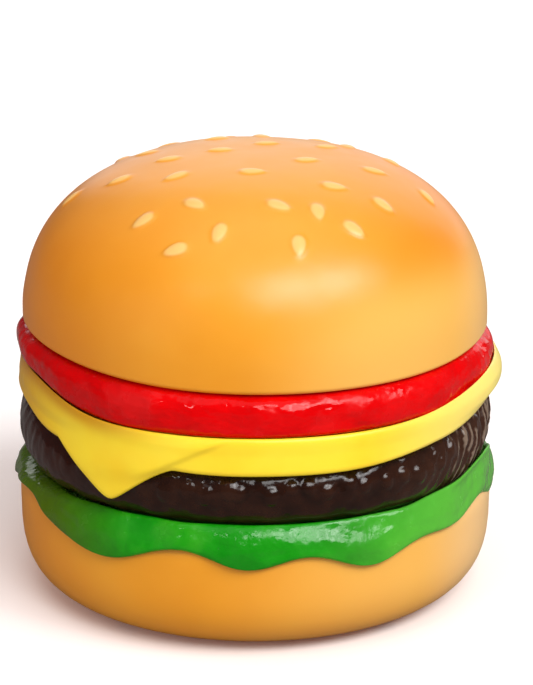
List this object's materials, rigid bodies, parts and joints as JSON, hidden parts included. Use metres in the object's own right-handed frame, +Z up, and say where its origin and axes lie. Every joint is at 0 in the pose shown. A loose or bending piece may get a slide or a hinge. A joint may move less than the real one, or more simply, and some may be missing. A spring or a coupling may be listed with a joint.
{
  "type": "novelty telephone",
  "caption": "Flip-open novelty telephone shaped like a cheeseburger: top bun and tomato lift on a rear hinge over a keypad, with a line socket at the back.",
  "frame": {"origin": "centre of the rubber foot ring, in the plane of the table", "axes": "+Z up; the front with the seam that opens faces -Y; the hinge and the line socket are on the +Y side; +X is to the right seen from the front"},
  "size_m": [0.1289, 0.135, 0.1167],
  "materials": {
    "bun_plastic": "satin gloss, moulded orange-tan plastic, toasted darker at the sides",
    "lettuce_plastic": "glossy green plastic",
    "patty_plastic": "glossy dark brown plastic with a pebbled edge",
    "cheese_plastic": "satin yellow plastic",
    "tomato_plastic": "glossy red plastic",
    "panel_plastic": "fine satin texture, cream plastic",
    "key_plastic": "satin brown plastic",
    "black_plastic": "moulded black plastic",
    "slider_plastic": "off-white plastic",
    "foot_rubber": "matt rubber",
    "mat_rubber": "matt grey silicone rubber",
    "circuit_board": "green solder resist",
    "capacitor_sleeve": "dark blue shrink sleeve",
    "resistor_body": "tan lacquer",
    "resonator_body": "amber epoxy dip",
    "mic_can": "drawn aluminium can",
    "gold_contacts": "gold plated wire",
    "spring_steel": "bright spring wire",
    "zinc_steel": "bright zinc plate",
    "ballast_iron": "plain cast iron",
    "magnet_steel": "plated steel cup over a ferrite ring",
    "speaker_cloth": "thin black acoustic cloth",
    "speaker_cone": "dark plastic film",
    "wire_insulation": "red PVC insulation"
  },
  "bodies": {
    "base": {"bottom_bun": "bun_plastic", "foot_ring": "foot_rubber", "lettuce": "lettuce_plastic", "patty": "patty_plastic", "cheese": "cheese_plastic", "keypad_panel": "panel_plastic", "rubber_keypad": "mat_rubber", "main_board": "circuit_board", "dial_chip": "black_plastic", "capacitors": "capacitor_sleeve", "transistors": "black_plastic", "resistors": "resistor_body", "resonator": "resonator_body", "ringer": "black_plastic", "microphone": "mic_can", "mic_boot": "foot_rubber", "hook_switch": "black_plastic", "hook_spring": "spring_steel", "line_jack": "black_plastic", "jack_contacts": "gold_contacts", "tone_switch": "black_plastic", "ringer_switch": "black_plastic", "ballast_plate": "ballast_iron", "base_screws": "zinc_steel", "board_screws": "zinc_steel", "hinge_pin": "zinc_steel", "base_wires": "wire_insulation"},
    "lid": {"top_bun": "bun_plastic", "tomato": "tomato_plastic", "earpiece_panel": "panel_plastic", "earpiece_cloth": "speaker_cloth", "earpiece_cone": "speaker_cone", "earpiece_frame": "zinc_steel", "earpiece_magnet": "magnet_steel", "earpiece_clamp": "zinc_steel", "clamp_screws": "zinc_steel", "lid_screws": "zinc_steel", "screw_plugs": "panel_plastic", "lid_wire": "wire_insulation", "bumpers": "foot_rubber"},
    "key_1": {"key_1": "key_plastic"},
    "key_2": {"key_2": "key_plastic"},
    "key_3": {"key_3": "key_plastic"},
    "key_4": {"key_4": "key_plastic"},
    "key_5": {"key_5": "key_plastic"},
    "key_6": {"key_6": "key_plastic"},
    "key_7": {"key_7": "key_plastic"},
    "key_8": {"key_8": "key_plastic"},
    "key_9": {"key_9": "key_plastic"},
    "key_star": {"key_star": "key_plastic"},
    "key_0": {"key_0": "key_plastic"},
    "key_hash": {"key_hash": "key_plastic"},
    "key_redial": {"key_redial": "key_plastic"},
    "key_flash": {"key_flash": "key_plastic"},
    "key_mute": {"key_mute": "key_plastic"},
    "hook_plunger": {"hook_plunger": "panel_plastic"},
    "tone_slider": {"tone_slider": "slider_plastic"},
    "ringer_slider": {"ringer_slider": "slider_plastic"}
  },
  "joints": [
    {"name": "lid_hinge", "type": "hinge", "parent": "base", "child": "lid", "pos_m": [0, 0.0665, 0.0583], "axis": [-1, 0, 0], "range_deg": [0, 120]},
    {"name": "key_1_press", "type": "slide", "parent": "base", "child": "key_1", "axis": [0, 0, -1], "range_m": [0, 0.0015], "stiffness_N_per_m": 400, "springref_m": -0.0005, "deforming": ["rubber_keypad"]},
    {"name": "key_2_press", "type": "slide", "parent": "base", "child": "key_2", "axis": [0, 0, -1], "range_m": [0, 0.0015], "stiffness_N_per_m": 400, "springref_m": -0.0005, "deforming": ["rubber_keypad"]},
    {"name": "key_3_press", "type": "slide", "parent": "base", "child": "key_3", "axis": [0, 0, -1], "range_m": [0, 0.0015], "stiffness_N_per_m": 400, "springref_m": -0.0005, "deforming": ["rubber_keypad"]},
    {"name": "key_4_press", "type": "slide", "parent": "base", "child": "key_4", "axis": [0, 0, -1], "range_m": [0, 0.0015], "stiffness_N_per_m": 400, "springref_m": -0.0005, "deforming": ["rubber_keypad"]},
    {"name": "key_5_press", "type": "slide", "parent": "base", "child": "key_5", "axis": [0, 0, -1], "range_m": [0, 0.0015], "stiffness_N_per_m": 400, "springref_m": -0.0005, "deforming": ["rubber_keypad"]},
    {"name": "key_6_press", "type": "slide", "parent": "base", "child": "key_6", "axis": [0, 0, -1], "range_m": [0, 0.0015], "stiffness_N_per_m": 400, "springref_m": -0.0005, "deforming": ["rubber_keypad"]},
    {"name": "key_7_press", "type": "slide", "parent": "base", "child": "key_7", "axis": [0, 0, -1], "range_m": [0, 0.0015], "stiffness_N_per_m": 400, "springref_m": -0.0005, "deforming": ["rubber_keypad"]},
    {"name": "key_8_press", "type": "slide", "parent": "base", "child": "key_8", "axis": [0, 0, -1], "range_m": [0, 0.0015], "stiffness_N_per_m": 400, "springref_m": -0.0005, "deforming": ["rubber_keypad"]},
    {"name": "key_9_press", "type": "slide", "parent": "base", "child": "key_9", "axis": [0, 0, -1], "range_m": [0, 0.0015], "stiffness_N_per_m": 400, "springref_m": -0.0005, "deforming": ["rubber_keypad"]},
    {"name": "key_star_press", "type": "slide", "parent": "base", "child": "key_star", "axis": [0, 0, -1], "range_m": [0, 0.0015], "stiffness_N_per_m": 400, "springref_m": -0.0005, "deforming": ["rubber_keypad"]},
    {"name": "key_0_press", "type": "slide", "parent": "base", "child": "key_0", "axis": [0, 0, -1], "range_m": [0, 0.0015], "stiffness_N_per_m": 400, "springref_m": -0.0005, "deforming": ["rubber_keypad"]},
    {"name": "key_hash_press", "type": "slide", "parent": "base", "child": "key_hash", "axis": [0, 0, -1], "range_m": [0, 0.0015], "stiffness_N_per_m": 400, "springref_m": -0.0005, "deforming": ["rubber_keypad"]},
    {"name": "key_redial_press", "type": "slide", "parent": "base", "child": "key_redial", "axis": [0, 0, -1], "range_m": [0, 0.0015], "stiffness_N_per_m": 400, "springref_m": -0.0005, "deforming": ["rubber_keypad"]},
    {"name": "key_flash_press", "type": "slide", "parent": "base", "child": "key_flash", "axis": [0, 0, -1], "range_m": [0, 0.0015], "stiffness_N_per_m": 400, "springref_m": -0.0005, "deforming": ["rubber_keypad"]},
    {"name": "key_mute_press", "type": "slide", "parent": "base", "child": "key_mute", "axis": [0, 0, -1], "range_m": [0, 0.0015], "stiffness_N_per_m": 400, "springref_m": -0.0005, "deforming": ["rubber_keypad"]},
    {"name": "hook_plunger_lift", "type": "slide", "parent": "base", "child": "hook_plunger", "axis": [0, 0, 1], "range_m": [0, 0.002], "deforming": ["hook_spring"]},
    {"name": "tone_slide", "type": "slide", "parent": "base", "child": "tone_slider", "axis": [1, 0, 0], "range_m": [0, 0.004]},
    {"name": "ringer_slide", "type": "slide", "parent": "base", "child": "ringer_slider", "axis": [1, 0, 0], "range_m": [0, 0.004]}
  ],
  "couplings": [
    {"joint": "hook_plunger_lift", "follows": "lid_hinge", "m_per_rad": 0.00095}
  ]
}
